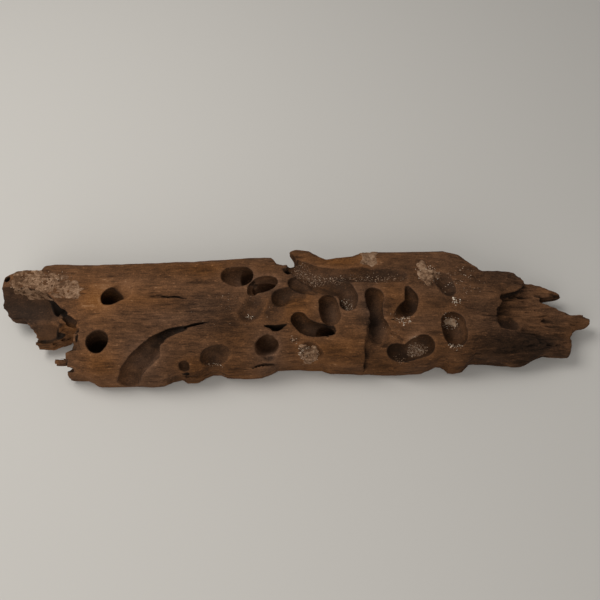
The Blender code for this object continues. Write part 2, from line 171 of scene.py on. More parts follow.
# Shipworm tunnels, as points on the centre line and the radius there: (x, y, z, radius).
TUNNELS = {
    # seen from above
    "round_bore": [
        (-184, -37.5, 57, 9.8), (-184, -38.5, 43, 10), (-183, -40, 31, 10), (-168, -40, 20, 9),
    ],
    "slant_bore": [(-172, 14, 62, 8), (-176, 9.5, 51, 9.5), (-179.5, 3.5, 40, 11), (-185, -4, 27, 11)],
    "slant_slope": [(-165, 24, 62, 9.5), (-169, 14, 55.5, 10)],
    "scoop": [
        (-159, -67, 17, 10), (-152, -59.5, 32, 9.8), (-142, -50, 42, 9.2), (-131, -40.5, 48, 7),
        (-117, -31.5, 51, 4.4), (-103, -26, 53, 2),
    ],
    "scoop_slope": [(-146, -60, 40, 9), (-134, -51, 50, 9)],
    "scoop_end": [(-133, -41, 46, 5.5), (-119, -32, 49.5, 4.6), (-107, -27, 52, 2.4)],
    "dimple_small": [(-103.5, -56.5, 36, 4.6), (-103.5, -58, 33, 4.6)],
    "dimple_wide": [(-76, -53, 41, 11.5), (-69, -52, 47, 10)],
    "hole_a": [(-63.5, 31, 54, 8.5), (-55, 30, 51, 11), (-48.5, 31.5, 48, 9.8), (-44, 34, 37, 8)],
    "hole_b": [(-43, 12, 54, 3), (-38, 17.5, 51, 7.5), (-29.5, 21.5, 49, 9.8), (-22, 23.5, 48, 8.6)],
    "hole_b_below": [(-34, 20, 41, 8.5), (-24, 23, 34, 9), (-16, 24, 31, 8)],
    "pale_hollow": [(-43, -10, 62, 12), (-39, 0, 61.5, 12)],
    "hollow_c": [(-13, 5.5, 56, 9), (-6, 8, 58.5, 8.5), (4, 8, 62, 8)],
    "facet": [(-20, -12, 71, 17.2), (-17, 3, 71, 16.8)],
    "notch_bore": [(-11, 37.4, 57, 1.5), (-6.5, 35, 56, 3.2), (-2, 37.4, 57, 1.5)],
    "notch_bore_below": [(-6.5, 34.2, 54, 3.4), (-5, 31, 46, 4.6), (2, 26.5, 37, 5)],
    "arch": [
        (1, 40, 55.5, 8.7), (9, 35, 57, 10.8), (20, 29, 58, 11.8), (31, 24, 58, 10.8),
        (42, 19, 56.5, 9.7), (48.5, 12, 55, 9.5), (51, 5, 54.5, 9), (50.5, -2, 54, 8),
    ],
    "long_groove": [
        (21, 33, 57.5, 8), (34, 31.5, 58, 8), (49, 31, 58.5, 7.8), (76, 32, 56, 7.5),
        (105, 32, 56.5, 7),
    ],
    "oval_h": [(0, 21, 57, 6.3), (8, 17.5, 56.5, 7), (17, 14, 56.5, 6.2)],
    "arch_low": [(19, 20, 57.5, 8), (30, 17.5, 57.5, 8.6), (38, 15, 57, 8.2)],
    "recess": [(31.5, -2, 53, 9.6), (33, -10, 53.5, 9.8), (34, -15.5, 55, 9.5)],
    "kidney_e": [
        (4, -18, 53, 7.5), (9, -23, 50, 8.5), (18, -26, 50, 7.5), (27, -27, 50.5, 6.5),
        (34, -27, 50, 6.5),
    ],
    "kidney_e_below": [(26, -28, 45, 6), (35, -29, 37, 6.5), (38, -31, 28, 6)],
    "hole_d": [(-25.6, -47, 49.2, 10.3), (-25.6, -40, 44, 11.2), (-25.6, -32, 38, 10.3)],
    "hole_d_lip": [(-25, -46, 42, 7.5), (-23, -50, 36.5, 4.5)],
    "deposit_i": [(13, -48, 43.3, 10.3), (17.5, -49.5, 38.5, 10)],
    "trench_k": [
        (76, 9, 47.5, 10.2), (74, 2, 46, 10), (75.5, -8, 45.5, 9), (78.5, -18, 45.5, 8.4),
        (80, -28, 45, 8.2),
    ],
    "trench_end": [(80, -26, 46, 8), (79, -37, 45, 8.4), (80, -47, 42, 8)],
    "trench_fan": [(77, -34, 47, 8), (79, -42, 45, 9), (83, -50, 40, 10)],
    "hole_l": [
        (110, 18, 51, 2.5), (112.5, 9, 47, 7), (112.5, 2, 44, 8), (104, -7, 51, 7),
        (98, -13, 54, 5.5),
    ],
    "kidney_m": [
        (97.5, -43, 35, 9.5), (104, -42, 34.5, 9.5), (113, -39.5, 37.5, 10.2),
        (121, -37.5, 39.5, 10.5),
    ],
    "oval_n": [(150.5, -18.5, 46, 11.5), (151, -24.5, 44.5, 12), (152, -29.5, 44.5, 10.3)],
    "hollow_p": [(143, 30, 57, 10), (147, 26, 54, 9.5), (150, 19.5, 53, 8.5)],
    "hollow_r": [(200, -2, 40, 4.5), (203, -10, 38.5, 6.5), (213, -11, 36.5, 8)],
    "crevice": [(201, 4, 38, 4), (206, 14, 38, 4), (216, 20, 36, 4), (228, 26, 33, 3.5)],
    # at the ends
    "left_trough": [(-318, 7, 41, 18), (-262, 5, 41, 17), (-245, 0, 41, 14), (-235, -7, 41, 10)],
    "left_between": [(-270, -6, 38, 14), (-248, -11, 38, 13), (-238, -16, 38, 10)],
    "left_shelf": [(-285, -16, 33, 12), (-252, -17, 32, 12), (-241, -19, 30, 10)],
    "left_crevice": [(-247, 14, 37, 3), (-240, 10.5, 36, 4.8), (-232, 5.5, 37, 5.5), (-225, -1, 39, 4)],
    "crevice_well": [(-238, 9, 33, 4.5), (-231, 4, 29, 5.5), (-223, 1, 23, 5)],
    "left_pocket": [(-224, -3, 40, 4.5), (-218, -8, 41, 6), (-212, -13, 41, 6.5)],
    "shelf_hole": [(-236, -32, 27, 4.6), (-232, -25, 27, 4.8), (-230, -18, 25, 4.2)],
    "end_recess": [(-214, -53, 24, 4.5), (-207, -53, 25, 4)],
    "under_hook": [(-9, 58, -6, 8.5), (-9, 59, 37, 8.5)],
    "knob_hole": [(-287.5, 35, 43, 3.4), (-284, 33.5, 36, 3.2)],
    # behind
    "back_bore": [(-236, 60, 24, 9), (-222, 44, 21, 9), (-196, 34, 20, 8)],
    "back_loop": [
        (-152, 60, 27, 8), (-140, 46, 25, 8.5), (-118, 40, 23, 8.5), (-98, 47, 25, 8.5),
        (-86, 62, 27, 8),
    ],
    "back_groove": [(-66, 57, 17, 7), (-36, 58, 16, 9), (-10, 58, 15, 9), (26, 62, 15, 8)],
    "back_well": [(68, 72, 31, 9), (72, 54, 27, 9), (86, 43, 22, 8)],
    "back_scallop": [(122, 72, 15, 9), (136, 57, 20, 10), (152, 55, 27, 10), (168, 68, 33, 9)],
    "scallop_mouth": [(128, 69, 17, 8), (144, 66, 23, 9), (162, 69, 31, 8)],
    "back_slot": [(196, 54, 17, 6.5), (206, 41, 17, 6.5), (228, 31, 15, 5.5)],
    # below
    "belly_left": [(-196, -24, -2, 7), (-168, -12, 1, 8.5), (-132, -16, 2, 8), (-108, -4, -3, 7)],
    "belly_middle": [(-74, 14, -3, 7), (-48, 26, 1, 9), (-16, 22, 1, 9), (12, 32, -3, 7)],
    "belly_right": [(40, -36, -3, 8), (62, -26, 1, 9), (92, -30, 2, 8), (112, -22, -4, 7)],
    "belly_cross": [(132, -4, -3, 7), (142, 14, 2, 9), (158, 30, 2, 8), (162, 44, -3, 8)],
    "belly_well": [(-30, -28, -6, 8), (-30, -27, 10, 8), (-24, -24, 16, 7)],
}

# How wide an edge is rounded, in millimetres. The water has worn some tunnels' lips wide, and the
# others are nearly crisp.
CRISP_LIP = 1.0
CRACK_LIP = 0.5
STEP_LIP = 1.2
SHED_LIP = 0.8
KNOB_FOOT = 2.0
OUTLINE_ROUND = 1.2
WORN_LIPS = {
    "pale_hollow": 3.0, "slant_slope": 3.0, "hollow_c": 1.5, "long_groove": 2.5,
    "dimple_wide": 3.0, "hollow_r": 3.0, "scoop_slope": 3.0, "trench_fan": 6.0,
    "trench_end": 5.0, "left_trough": 2.0, "left_shelf": 5.0, "left_between": 4.0,
    "back_groove": 4.0, "belly_left": 4.0, "belly_right": 4.0,
}

# Cracks and slits along the grain: (x, y, z, half width), too fine for the solid.
CRACKS = {
    "beyond_scoop": [
        (-106, -26, 53, 0.6), (-96, -22.5, 53, 1.1), (-89, -21, 53, 1.0), (-81, -20, 54, 0.4),
    ],
    "gouge_start": [
        (-147, 11, 54, 0.3), (-138, 9, 54.2, 0.6), (-130, 9.4, 54.2, 0.7), (-122, 7.2, 54.2, 0.6),
    ],
    "gouge_end": [
        (-122, 7.2, 54.2, 0.6), (-114, 7.6, 54.2, 0.7), (-108, 6, 54.2, 0.5), (-102, 5, 54, 0.3),
    ],
    "front_slit": [(-107, -60.5, 22, 0.9), (-101, -59.5, 24, 1.0)],
    "lip_left": [(-40, -55, 26, 0.4), (-34, -53, 27.5, 0.6), (-28, -51.8, 28, 0.7)],
    "lip_right": [(-28, -51.8, 28, 0.6), (-21, -50.7, 25.2, 0.5), (-13, -50.6, 18.5, 0.3)],
    "beside_bore": [(-203.5, -31, 51, 0.7), (-204, -36, 50, 1.3), (-205, -40, 49, 0.7)],
    "above_hole_d": [
        (-28, -24.5, 56, 0.6), (-22, -25.6, 54.5, 1.6), (-17, -27, 53, 2.8), (-8, -23.5, 56, 0.6),
    ],
    "below_bore": [(-181, -50.5, 46, 0.2), (-174, -50.3, 47, 0.4), (-166, -50.7, 47.5, 0.2)],
    "tip_lower": [(240, -31, 27, 0.2), (250, -30.5, 25, 0.35), (262, -30, 22, 0.2)],
    "back_face_a": [(-190, 51, 33, 0.5), (-160, 51, 35, 1.0), (-120, 51, 34, 0.5)],
    "back_face_b": [(84, 66, 15, 0.5), (94, 66, 13, 0.9), (106, 66, 14, 0.5)],
    "front_face_b": [(-182, -66, 22, 0.5), (-174, -66, 24, 0.9), (-162, -66, 23, 0.5)],
}

# Heights are squeezed by this for a crack, so it is 1 / 0.3 times as deep as it is wide.
CRACK_DEPTH = 0.3

# The block of points: its margin round the solid, how far from the surface relief is worked out,
# and how far round a tunnel or knob its distance is. The last is for places on the finished mesh.
BLOCK_MARGIN = 3.0
BAND = 4.5
TUNNEL_MARGIN = 8.0
KNOB_MARGIN = 4.0
NEAR_MARGIN = 12.0
FAR_AWAY = 100.0

# Touching corners: how often they are looked for, and the distance that one of the two is given.
PARTING_ROUNDS = 20
PARTING_GAP = 0.05

# The fewest quads in a part of the wood, and in a flake of crust, that is kept.
LEAST_WOOD = 2000
LEAST_FLAKE = 40

# Where relief is of torn fibres: between the two stations at the right it grows, and at the left
# too, where it ends towards the back. Out on the right tips it is weaker.
TORN_RIGHT = (196, 216)
TORN_LEFT = (-212, -226)
TORN_LEFT_BACK = (30, 18)
TORN_TIPS = (250, 270)

# The ragged undercut low on the back: how deep, where it starts, and the notch that it spares.
UNDERCUT = 2.2
UNDERCUT_FROM = (30, 42)
NOTCH_MIDDLE = 4
NOTCH_HALF_WIDTH = 14

NOISE_SIZE = 64  # places along each side of a noise table, after which it repeats


def value_noise(x, y, z, seed):
    """Random numbers in -1..1 at whole places, with a smooth cubic blend between the eight round a
    point."""
    table = np.random.default_rng(seed).random((NOISE_SIZE,) * 3, np.float32) * 2 - 1
    whole, part = [], []
    for a in (x, y, z):
        low = np.floor(a)
        t = (a - low).astype(np.float32)
        part.append(t * t * (3 - 2 * t))
        whole.append(low.astype(np.int32) & (NOISE_SIZE - 1))
    (i, j, k), (u, v, w) = whole, part
    i1, j1, k1 = ((low + 1) & (NOISE_SIZE - 1) for low in (i, j, k))
    near = (table[i, j, k] * (1 - u) + table[i1, j, k] * u) * (1 - v)
    near += (table[i, j1, k] * (1 - u) + table[i1, j1, k] * u) * v
    far = (table[i, j, k1] * (1 - u) + table[i1, j, k1] * u) * (1 - v)
    far += (table[i, j1, k1] * (1 - u) + table[i1, j1, k1] * u) * v
    return near * (1 - w) + far * w


def smoothstep(low, high, value):
    """0 below low, 1 above high, and 3t^2 - 2t^3 between."""
    t = np.clip((value - low) / (high - low), 0, 1)
    return t * t * (3 - 2 * t)


def smooth_max(a, b, width):
    """The larger of two, raised by a parabola where they differ by less than width."""
    overlap = np.maximum(width - np.abs(a - b), 0) / width
    return np.maximum(a, b) + overlap * overlap * width / 4


def round_both(a, b, radius):
    """The distance function of what two bodies share, with the edge between them rounded to radius."""
    outside = np.hypot(np.maximum(a + radius, 0), np.maximum(b + radius, 0))
    return np.minimum(np.maximum(a, b), -radius) + outside


def plan_distance(corners, x, y):
    """How far inside an outline a place in plan is: the least distance to its sides, negative
    outside. A place is inside where a line from it crosses the sides an odd number of times."""
    least = np.full(np.broadcast(x, y).shape, 1e9, np.float32)
    inside = np.zeros(least.shape, bool)
    for (ax, ay), (bx, by) in zip(corners, corners[1:] + corners[:1]):
        dx, dy = bx - ax, by - ay
        t = np.clip(((x - ax) * dx + (y - ay) * dy) / (dx * dx + dy * dy), 0, 1)
        least = np.minimum(least, (x - ax - t * dx) ** 2 + (y - ay - t * dy) ** 2)
        if dy:
            crosses = ((ay > y) != (by > y)) & (x < dx * (y - ay) / dy + ax)
            inside ^= crosses
    return np.where(inside, np.sqrt(least), -np.sqrt(least))


def curved(path):
    """A path with two points more in each stretch, on a Catmull-Rom curve through the given ones."""
    if len(path) < 3:
        return path
    points = np.array([path[0], *path, path[-1]], float)
    made = []
    for a, b, c, d in zip(points, points[1:], points[2:], points[3:]):
        for t in (0, 1 / 3, 2 / 3):
            bend = (c - a) * t + (2 * a - 5 * b + 4 * c - d) * t**2 + (3 * b - a - 3 * c + d) * t**3
            made.append(b + bend / 2)
    return [*made, points[-1]]


def tunnel_distance(path, x, y, z):
    """How far outside a tunnel a place is: over the stretches of its curved path, the distance to the
    line between two points less the radius blended between theirs, and the least of those."""
    points = np.array(curved(path), np.float32)
    least = np.float32(1e9)
    for (ax, ay, az, ar), (bx, by, bz, br) in zip(points, points[1:]):
        dx, dy, dz = bx - ax, by - ay, bz - az
        t = ((x - ax) * dx + (y - ay) * dy + (z - az) * dz) / (dx * dx + dy * dy + dz * dz)
        t = np.clip(t, 0, 1)
        away = np.sqrt((x - ax - t * dx) ** 2 + (y - ay - t * dy) ** 2 + (z - az - t * dz) ** 2)
        least = np.minimum(least, away - (ar + t * (br - ar)))
    return least


def crack_distance(path, x, y, z):
    """As for a tunnel, with heights squeezed, so that the same line cuts a deep, narrow slit."""
    squeezed = [(px, py, pz * CRACK_DEPTH, radius) for px, py, pz, radius in path]
    return tunnel_distance(squeezed, x, y, z * CRACK_DEPTH)


def at_station(x, table):
    """A table's value at stations x, on straight lines between its rows."""
    stations, values = zip(*table)
    return np.interp(x, stations, values).astype(np.float32)


def top_height(x, y):
    """The worn top: the table's height and a slow swell, a sum of long crossing waves."""
    swell = 1.3 * np.sin(x / 31 + 0.6) * np.cos(y / 23 + 0.4) + 0.8 * np.sin(x / 17 + y / 14)
    return at_station(x, TOP_HEIGHT) + swell


def blank_distance(x, y, z):
    """The slab before it was bored. Front and top are one quarter ellipse and its tangents, the back
    is rounded to the top, the broken outline trims them all with a ragged undercut low on the
    back, and the underside closes it."""
    front, back = at_station(x, FRONT_EDGE), at_station(x, BACK_EDGE)
    low = at_station(x, UNDERSIDE)
    top = top_height(x, y)
    depth = np.minimum(FRONT_ROUND_DEPTH, (back - front) / 2)
    foot = low + FOOT_HEIGHT
    rise = np.maximum(top - foot, 4.0)
    across = np.maximum(front + depth - y, 0) / depth + 1e-3
    up = np.maximum(z - foot, 0) / rise
    ring = np.hypot(across, up)
    body = ring * (ring - 1) / np.hypot(across / depth, up / rise)
    body = round_both(body, y - back, BACK_ROUND)
    beside_notch = 1 - np.exp(-(((x - NOTCH_MIDDLE) / NOTCH_HALF_WIDTH) ** 2))
    below = np.clip((top - z) / rise, 0, 1) * smoothstep(*UNDERCUT_FROM, y) * beside_notch
    undercut = UNDERCUT * below * (1 + np.sin(x / 9 + 0.5 * z) * np.sin(x / 23 + y / 13 + z / 7))
    body = round_both(body, undercut - plan_distance(OUTLINE, x, y), OUTLINE_ROUND)
    return round_both(body, low - z, np.minimum(FOOT_ROUND, (top - low) / 3))


def box_of(path, margin):
    """The lowest and highest corners of a tunnel's path with a margin round it."""
    points = np.array(path, float)
    reach = points[:, 3:] + margin
    return (points[:, :3] - reach).min(0), (points[:, :3] + reach).max(0)


def window(axes, low, high):
    """The slices of a block's three axes that cover a box."""
    return tuple(
        slice(int(np.searchsorted(axis, a)), int(np.searchsorted(axis, b, "right")))
        for axis, a, b in zip(axes, low, high)
    )


def opened(axes, parts):
    """Three axes, or slices of them, shaped so that they broadcast to a block."""
    xs, ys, zs = (axis[part] for axis, part in zip(axes, parts))
    return xs[:, None, None], ys[None, :, None], zs[None, None, :]


def wood_distance(axes):
    """The whole slab on a block of points: the blank, less its steps and the shed sheet, with its
    knobs, less the hollow under the spur, the tunnels and the cracks. The grain and the wear are
    added in a band about the surface, and nothing reaches below the floor."""
    every = (slice(None),) * 3
    x, y, z = opened(axes, every)
    field = blank_distance(x, y, z).astype(np.float32)

    for step in BROKEN_STEPS.values():
        height, rise_x, rise_y = step["floor"]
        side = plan_distance(step["corners"], x, y)
        gone = np.minimum(side, z - (height + rise_x * x + rise_y * y))
        band = np.nonzero(np.abs(gone) < BAND)
        u, v, w = (axis[index] for axis, index in zip(axes, band))
        gone[band] += 1.3 * value_noise(u / 13, v / 3.2, w / 4, 6)
        field = smooth_max(field, gone, STEP_LIP)
    part = window(axes, *SHED_BOX)
    near = opened(axes, part)
    depth = SHED_DEPTH * (1 - smoothstep(*SHED_FADE, near[0])) * smoothstep(*SHED_FOOT, near[2])
    ragged = 1.6 * value_noise(near[0] / 5, near[1] / 4, near[2] / 6, 8)
    gone = np.minimum(plan_distance(SHED_CORNERS, *near[:2]) + ragged, field[part] + depth)
    field[part] = smooth_max(field[part], gone, SHED_LIP)
    for path in KNOBS.values():
        part = window(axes, *box_of(path, KNOB_MARGIN))
        near = opened(axes, part)
        knob = np.maximum(tunnel_distance(path, *near), -plan_distance(OUTLINE, *near[:2]))
        field[part] = -smooth_max(-field[part], -knob, KNOB_FOOT)
    x0, x1, y0, y1 = SPUR_BOX
    under_spur = np.minimum(np.minimum(x - x0, x1 - x), np.minimum(y - y0, y1 - y))
    field = np.maximum(field, np.minimum(under_spur, SPUR_UNDERSIDE - z))

    for name, path in TUNNELS.items():
        part = window(axes, *box_of(path, TUNNEL_MARGIN))
        hollow = -tunnel_distance(path, *opened(axes, part))
        field[part] = smooth_max(field[part], hollow, WORN_LIPS.get(name, CRISP_LIP))
    for path in CRACKS.values():
        part = window(axes, *box_of(path, TUNNEL_MARGIN))
        hollow = -crack_distance(path, *opened(axes, part))
        field[part] = smooth_max(field[part], hollow, CRACK_LIP)

    band = np.nonzero(np.abs(field) < BAND)
    places = [axis[index] for axis, index in zip(axes, band)]
    field[band] += relief(*places)
    return np.maximum(field, -z)


def nearest_of(paths, distance, x, y, z):
    """The distance from loose places to the nearest of several tunnels or cracks, or a far value."""
    nearest = np.full(len(x), FAR_AWAY, np.float32)
    for path in paths.values():
        low, high = box_of(path, NEAR_MARGIN)
        near = np.nonzero(
            (x > low[0]) & (x < high[0]) & (y > low[1]) & (y < high[1]) & (z > low[2]) & (z < high[2])
        )[0]
        away = distance(path, x[near], y[near], z[near])
        nearest[near] = np.minimum(nearest[near], away)
    return nearest


def relief(x, y, z):
    """How far wear has eaten in, in millimetres: long streaks of grain, slow lumps and, where the wood
    is broken, deep fibres. Tunnel walls keep only a little of it."""
    bare = smoothstep(0.0, 2.5, nearest_of(TUNNELS, tunnel_distance, x, y, z))
    grain = value_noise(x / 30, y / 2.6, z / 2.6, 1) + 0.6 * value_noise(x / 12, y / 1.6, z / 1.6, 2)
    lumps = value_noise(x / 17, y / 12, z / 12, 3) + 0.7 * value_noise(x / 6, y / 4.5, z / 4.5, 7)
    fibres = np.abs(value_noise(x / 44, y / 3.4, z / 3.4, 4)) - 0.35
    torn_left = smoothstep(*TORN_LEFT, x) * smoothstep(*TORN_LEFT_BACK, y)
    broken = np.maximum(smoothstep(*TORN_RIGHT, x), torn_left)
    tips = 1 - 0.6 * smoothstep(*TORN_TIPS, x)
    checks = smoothstep(0.45, 0.8, value_noise(x / 46, y / 4.0, z / 6, 5))
    split = value_noise(x / 16, y / 1.5, z / 1.5, 9)
    rough = bare * (0.26 * grain + 0.8 * checks + tips * broken * (1.4 * fibres + 0.5 * split))
    return rough + 0.38 * lumps


def parted(field):
    """The field without places where two lumps touch only across the diagonal of a grid square, since
    a net would join four quads at one edge there. One of the two corners is taken out, until no
    square has such a pair."""
    field = field.copy()
    for _ in range(PARTING_ROUNDS):
        found = 0
        for u, v in ((0, 1), (0, 2), (1, 2)):
            views = []
            for step_u, step_v in ((0, 0), (1, 1), (1, 0), (0, 1)):
                part = [slice(None)] * 3
                part[u] = slice(step_u, field.shape[u] - 1 + step_u)
                part[v] = slice(step_v, field.shape[v] - 1 + step_v)
                views.append(field[tuple(part)])
            near, far, right, left = (view < 0 for view in views)
            views[0][near & far & ~right & ~left] = PARTING_GAP
            views[2][right & left & ~near & ~far] = PARTING_GAP
            found += np.count_nonzero((near == far) & (right == left) & (near != right))
        if not found:
            break
    return field


def without_crumbs(points, quads, least):
    """A net without its loose parts of fewer quads than that. Each quad starts with its own number
    and takes the lowest number on its four sides, until no number changes."""
    sides = np.sort(np.stack([quads, np.roll(quads, -1, axis=1)], 2).reshape(-1, 2), axis=1)
    keys = sides[:, 0].astype(np.int64) * len(points) + sides[:, 1]
    order = np.argsort(keys, kind="stable")
    starts = np.nonzero(np.diff(keys[order], prepend=-1))[0]
    side = np.empty(len(keys), np.int64)
    side[order] = np.repeat(np.arange(len(starts)), np.diff(starts, append=len(keys)))
    owner = order // 4
    label = np.arange(len(quads))
    while True:
        lowest = np.minimum.reduceat(label[owner], starts)
        low = lowest[side].reshape(-1, 4).min(axis=1)
        new = label.copy()
        np.minimum.at(new, label, low)
        new = np.minimum(new, low)
        new = new[new]
        if np.array_equal(new, label):
            break
        label = new
    kept = quads[np.bincount(label)[label] >= least]
    used, numbers = np.unique(kept, return_inverse=True)
    return points[used], numbers.reshape(kept.shape)


def net_of(field, axes):
    """A net of quads through the field's zero surface. Each cell that the surface crosses gets one
    point, the mean of the crossings on its edges, and each edge that it crosses gets one quad."""
    nx, ny, nz = field.shape
    inside = field < 0
    corners = [(a, b, c) for a in (0, 1) for b in (0, 1) for c in (0, 1)]

    def shifted(block, corner):
        a, b, c = corner
        return block[a : nx - 1 + a, b : ny - 1 + b, c : nz - 1 + c]

    total = np.zeros((nx - 1, ny - 1, nz - 1), np.int8)
    for corner in corners:
        total += shifted(inside, corner)
    cells = np.nonzero((total > 0) & (total < 8))
    number = np.full(total.shape, -1, np.int32)
    number[cells] = np.arange(len(cells[0]), dtype=np.int32)

    point = np.zeros((len(cells[0]), 3))
    crossings = np.zeros(len(cells[0]))
    for one in corners:
        for axis in range(3):
            if one[axis]:
                continue
            other = tuple(one[i] + (i == axis) for i in range(3))
            f0, f1 = shifted(field, one)[cells], shifted(field, other)[cells]
            crossed = (f0 < 0) != (f1 < 0)
            t = np.where(crossed, f0 / np.where(crossed, f0 - f1, 1), 0)
            for i in range(3):
                point[:, i] += crossed * (one[i] + (t if i == axis else 0))
            crossings += crossed
    point /= crossings[:, None]
    for i, axis in enumerate(axes):
        point[:, i] = axis[cells[i]] + point[:, i] * (axis[1] - axis[0])

    quads = []
    for axis in range(3):
        u, v = [i for i in range(3) if i != axis]
        first = [slice(1, -1)] * 3
        first[axis] = slice(0, -1)
        second = list(first)
        second[axis] = slice(1, None)
        a, b = inside[tuple(first)], inside[tuple(second)]
        edge = np.array(np.nonzero(a != b))
        starts_inside = a[tuple(edge)]
        for i in (u, v):
            edge[i] += 1
        around = []
        for back_u, back_v in ((1, 1), (0, 1), (0, 0), (1, 0)):
            cell = edge.copy()
            cell[u] -= back_u
            cell[v] -= back_v
            around.append(number[tuple(cell)])
        quad = np.stack(around, 1)
        outwards = starts_inside if axis != 1 else ~starts_inside
        quads.append(np.where(outwards[:, None], quad, quad[:, ::-1]))
    return point, np.concatenate(quads)


def mesh_from(name, points, faces):
    """A mesh object at the origin, from points in millimetres and quads or triangles."""
    sides = faces.shape[1]
    mesh = bpy.data.meshes.new(name)
    mesh.vertices.add(len(points))
    mesh.vertices.foreach_set("co", (points * MM).astype(np.float32).ravel())
    mesh.loops.add(faces.size)
    mesh.loops.foreach_set("vertex_index", faces.astype(np.int32).ravel())
    mesh.polygons.add(len(faces))
    mesh.polygons.foreach_set("loop_start", np.arange(0, faces.size, sides, dtype=np.int32))
    mesh.update(calc_edges=True)
    mesh.validate()
    mesh.polygons.foreach_set("use_smooth", np.ones(len(mesh.polygons), bool))
    made = bpy.data.objects.new(name, mesh)
    bpy.context.scene.collection.objects.link(made)
    return made


def thinned(obj, triangles):
    """Collapses the flattest parts of a net until about so many triangles are left."""
    mesh = obj.data
    mesh.calc_loop_triangles()
    now = len(mesh.loop_triangles)
    if now <= triangles:
        return
    modifier = obj.modifiers.new("thin", "DECIMATE")
    modifier.ratio = triangles / now
    graph = bpy.context.evaluated_depsgraph_get()
    slim = bpy.data.meshes.new_from_object(obj.evaluated_get(graph))
    obj.modifiers.remove(modifier)
    obj.data = slim
    bpy.data.meshes.remove(mesh)
    slim.polygons.foreach_set("use_smooth", np.ones(len(slim.polygons), bool))
    slim.name = obj.name


def places_of(mesh):
    """The mesh's points, in millimetres."""
    flat = np.empty(len(mesh.vertices) * 3, np.float32)
    mesh.vertices.foreach_get("co", flat)
    return flat.reshape(-1, 3) / MM


def axes_over(low, high, step):
    """Three axes of evenly spaced points that cover a box."""
    return [np.arange(a, b + step, step, dtype=np.float32) for a, b in zip(low, high)]


# What the wood's surface is like from place to place, seen from above: (x, y, half length, half
# width, how much paler, how much warmer). Each fades out over its own size. A few are painted light
# and painted shade, as marked.
PATCHES = {
    "trough_floor": (-270, 2, 30, 20, -0.30, -0.45),
    "shelf_lit": (-246, -18, 16, 10, 0.22, 0.30),
    "bare_lump": (-214, -19, 11, 7, 0.36, 0.30),
    "bare_by_slant_bore": (-192, 8, 18, 20, 0.39, 0.35),
    # painted highlight along a raised splinter
    "splinter_highlight": (-198, -1.5, 8, 1.0, 0.6, -0.1),
    "bare_above_scoop": (-150, 14, 36, 14, 0.12, 0.25),
    "back_band_left": (-150, 40, 70, 10, 0.0, 0.25),
    "grey_band": (-140, -12, 52, 14, 0.04, -0.15),
    "front_left": (-186, -56, 24, 14, 0.15, 0.25),
    "scoop_floor": (-142, -52, 18, 16, -0.02, -0.45),
    "beyond_scoop": (-112, -40, 26, 18, -0.05, 0.0),
    "grey_middle": (-84, -4, 40, 18, -0.22, 0.0),
    "front_lip": (-84, -58, 34, 8, -0.04, 0.30),
    "dimple_grey": (-76, -50, 14, 12, -0.06, -0.25),
    "back_band_middle": (-80, 42, 34, 10, 0.02, 0.25),
    "hole_a_floor": (-50, 31, 12, 9, 0.0, -0.45),
    "hole_b_floor": (-28, 22, 12, 9, 0.06, -0.60),
    "facets": (-24, -4, 18, 16, -0.16, 0.10),
    "saddle": (4, 0, 20, 14, 0.06, 0.25),
    "arch_start": (14, 33, 18, 9, -0.06, -0.15),
    "arch_bend": (48, 12, 12, 16, -0.14, -0.10),
    "groove_grey": (74, 30, 34, 8, -0.20, 0.0),
    "oval_olive": (4, 18, 14, 8, -0.10, 0.15),
    "recess_dark": (32, -8, 12, 14, -0.02, -0.25),
    "back_band_right": (44, 48, 26, 8, 0.14, 0.40),
    "pale_end_grain": (74, 52, 9, 9, 0.45, -0.10),
    "front_middle": (-56, -44, 30, 14, 0.02, 0.10),
    "front_centre": (36, -44, 32, 16, 0.04, 0.35),
    "hole_d_walls": (-25, -41, 12, 11, -0.08, -0.60),
    "kidney_walls": (20, -25, 20, 10, -0.15, 0.1),
    # painted shade along the trench's left wall
    "trench_wall_shade": (74, -8, 10, 24, -0.25, -0.50),
    "front_olive": (-64, -24, 18, 12, -0.26, 0.0),
    "kidney_grit": (115, -37, 10, 8, 0.75, -0.6),
    "trench_fan": (86, -48, 20, 14, -0.10, 0.15),
    "right_of_trench": (96, 4, 16, 22, -0.05, 0.30),
    "right_middle": (130, -10, 30, 30, -0.06, 0.05),
    "right_back": (130, 40, 44, 16, -0.06, -0.05),
    "right_front": (150, -42, 30, 14, -0.12, 0.15),
    # the right end darker: partly darker wood, partly painted shade where less light falls there
    "darker_wood_and_shade_right": (190, -10, 30, 40, -0.14, 0.0),
    "stain": (212, -36, 36, 13, -0.48, -0.2),
    "stain_core": (236, -29, 18, 9, -0.38, -0.1),
    "terrace": (232, 6, 30, 20, 0.02, -0.05),
    "fracture": (262, -24, 16, 14, -0.14, 0.0),
    "long_tip": (280, -4, 14, 10, -0.02, 0.20),
    "short_tip": (258, 30, 16, 8, 0.06, 0.0),
    "right_back_corner": (200, 38, 30, 14, -0.18, -0.15),
}

# Tunnels whose walls are paler than the patches alone make them, or darker where it is negative:
# partly the walls' own tone, partly painted light and painted shade inside the tunnels.
WALL_TONES_LIGHT_AND_SHADE = {
    "round_bore": -0.25, "slant_bore": -0.45, "slant_slope": 0.12, "hole_a": 0.08,
    "hole_b": 0.32, "hole_b_below": 0.45, "hole_d": 0.34, "recess": 0.10, "oval_h": -0.08,
    "kidney_e": -0.10, "kidney_e_below": 0.15, "kidney_m": -0.24, "trench_k": 0.06,
    "trench_end": -0.08, "arch_low": -0.05, "scoop_end": -0.22, "oval_n": 0.07, "hole_l": -0.05,
    "hollow_p": -0.15, "hollow_r": -0.20, "left_crevice": -0.50, "crevice_well": -0.60,
    "left_pocket": -0.15, "shelf_hole": -0.45, "hollow_c": -0.06, "dimple_wide": -0.05,
    "crevice": -0.30,
}

